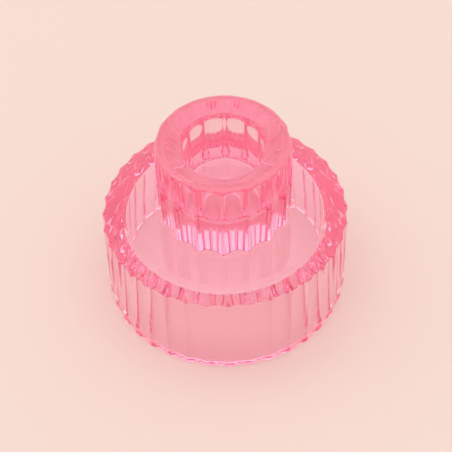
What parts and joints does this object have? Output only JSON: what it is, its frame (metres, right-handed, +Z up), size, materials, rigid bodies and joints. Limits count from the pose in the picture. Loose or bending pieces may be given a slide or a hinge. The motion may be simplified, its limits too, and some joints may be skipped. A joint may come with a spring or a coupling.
{
  "type": "glass candlestick",
  "caption": "Low two-tier candle holder in clear pink glass: a wide fluted hollow drum with a narrower fluted collar on top that takes a taper candle.",
  "frame": {"origin": "centre of the foot ring, on the table plane", "axes": "+Z up along the candle axis; -Y is the front, where a ridge of the drum faces the viewer"},
  "size_m": [0.071, 0.071, 0.0572],
  "materials": {
    "drum_glass": "clear pink glass, fire-polished",
    "collar_glass": "clear pink glass, fire-polished"
  },
  "bodies": {
    "root": {"drum": "drum_glass", "collar": "collar_glass"}
  },
  "joints": []
}
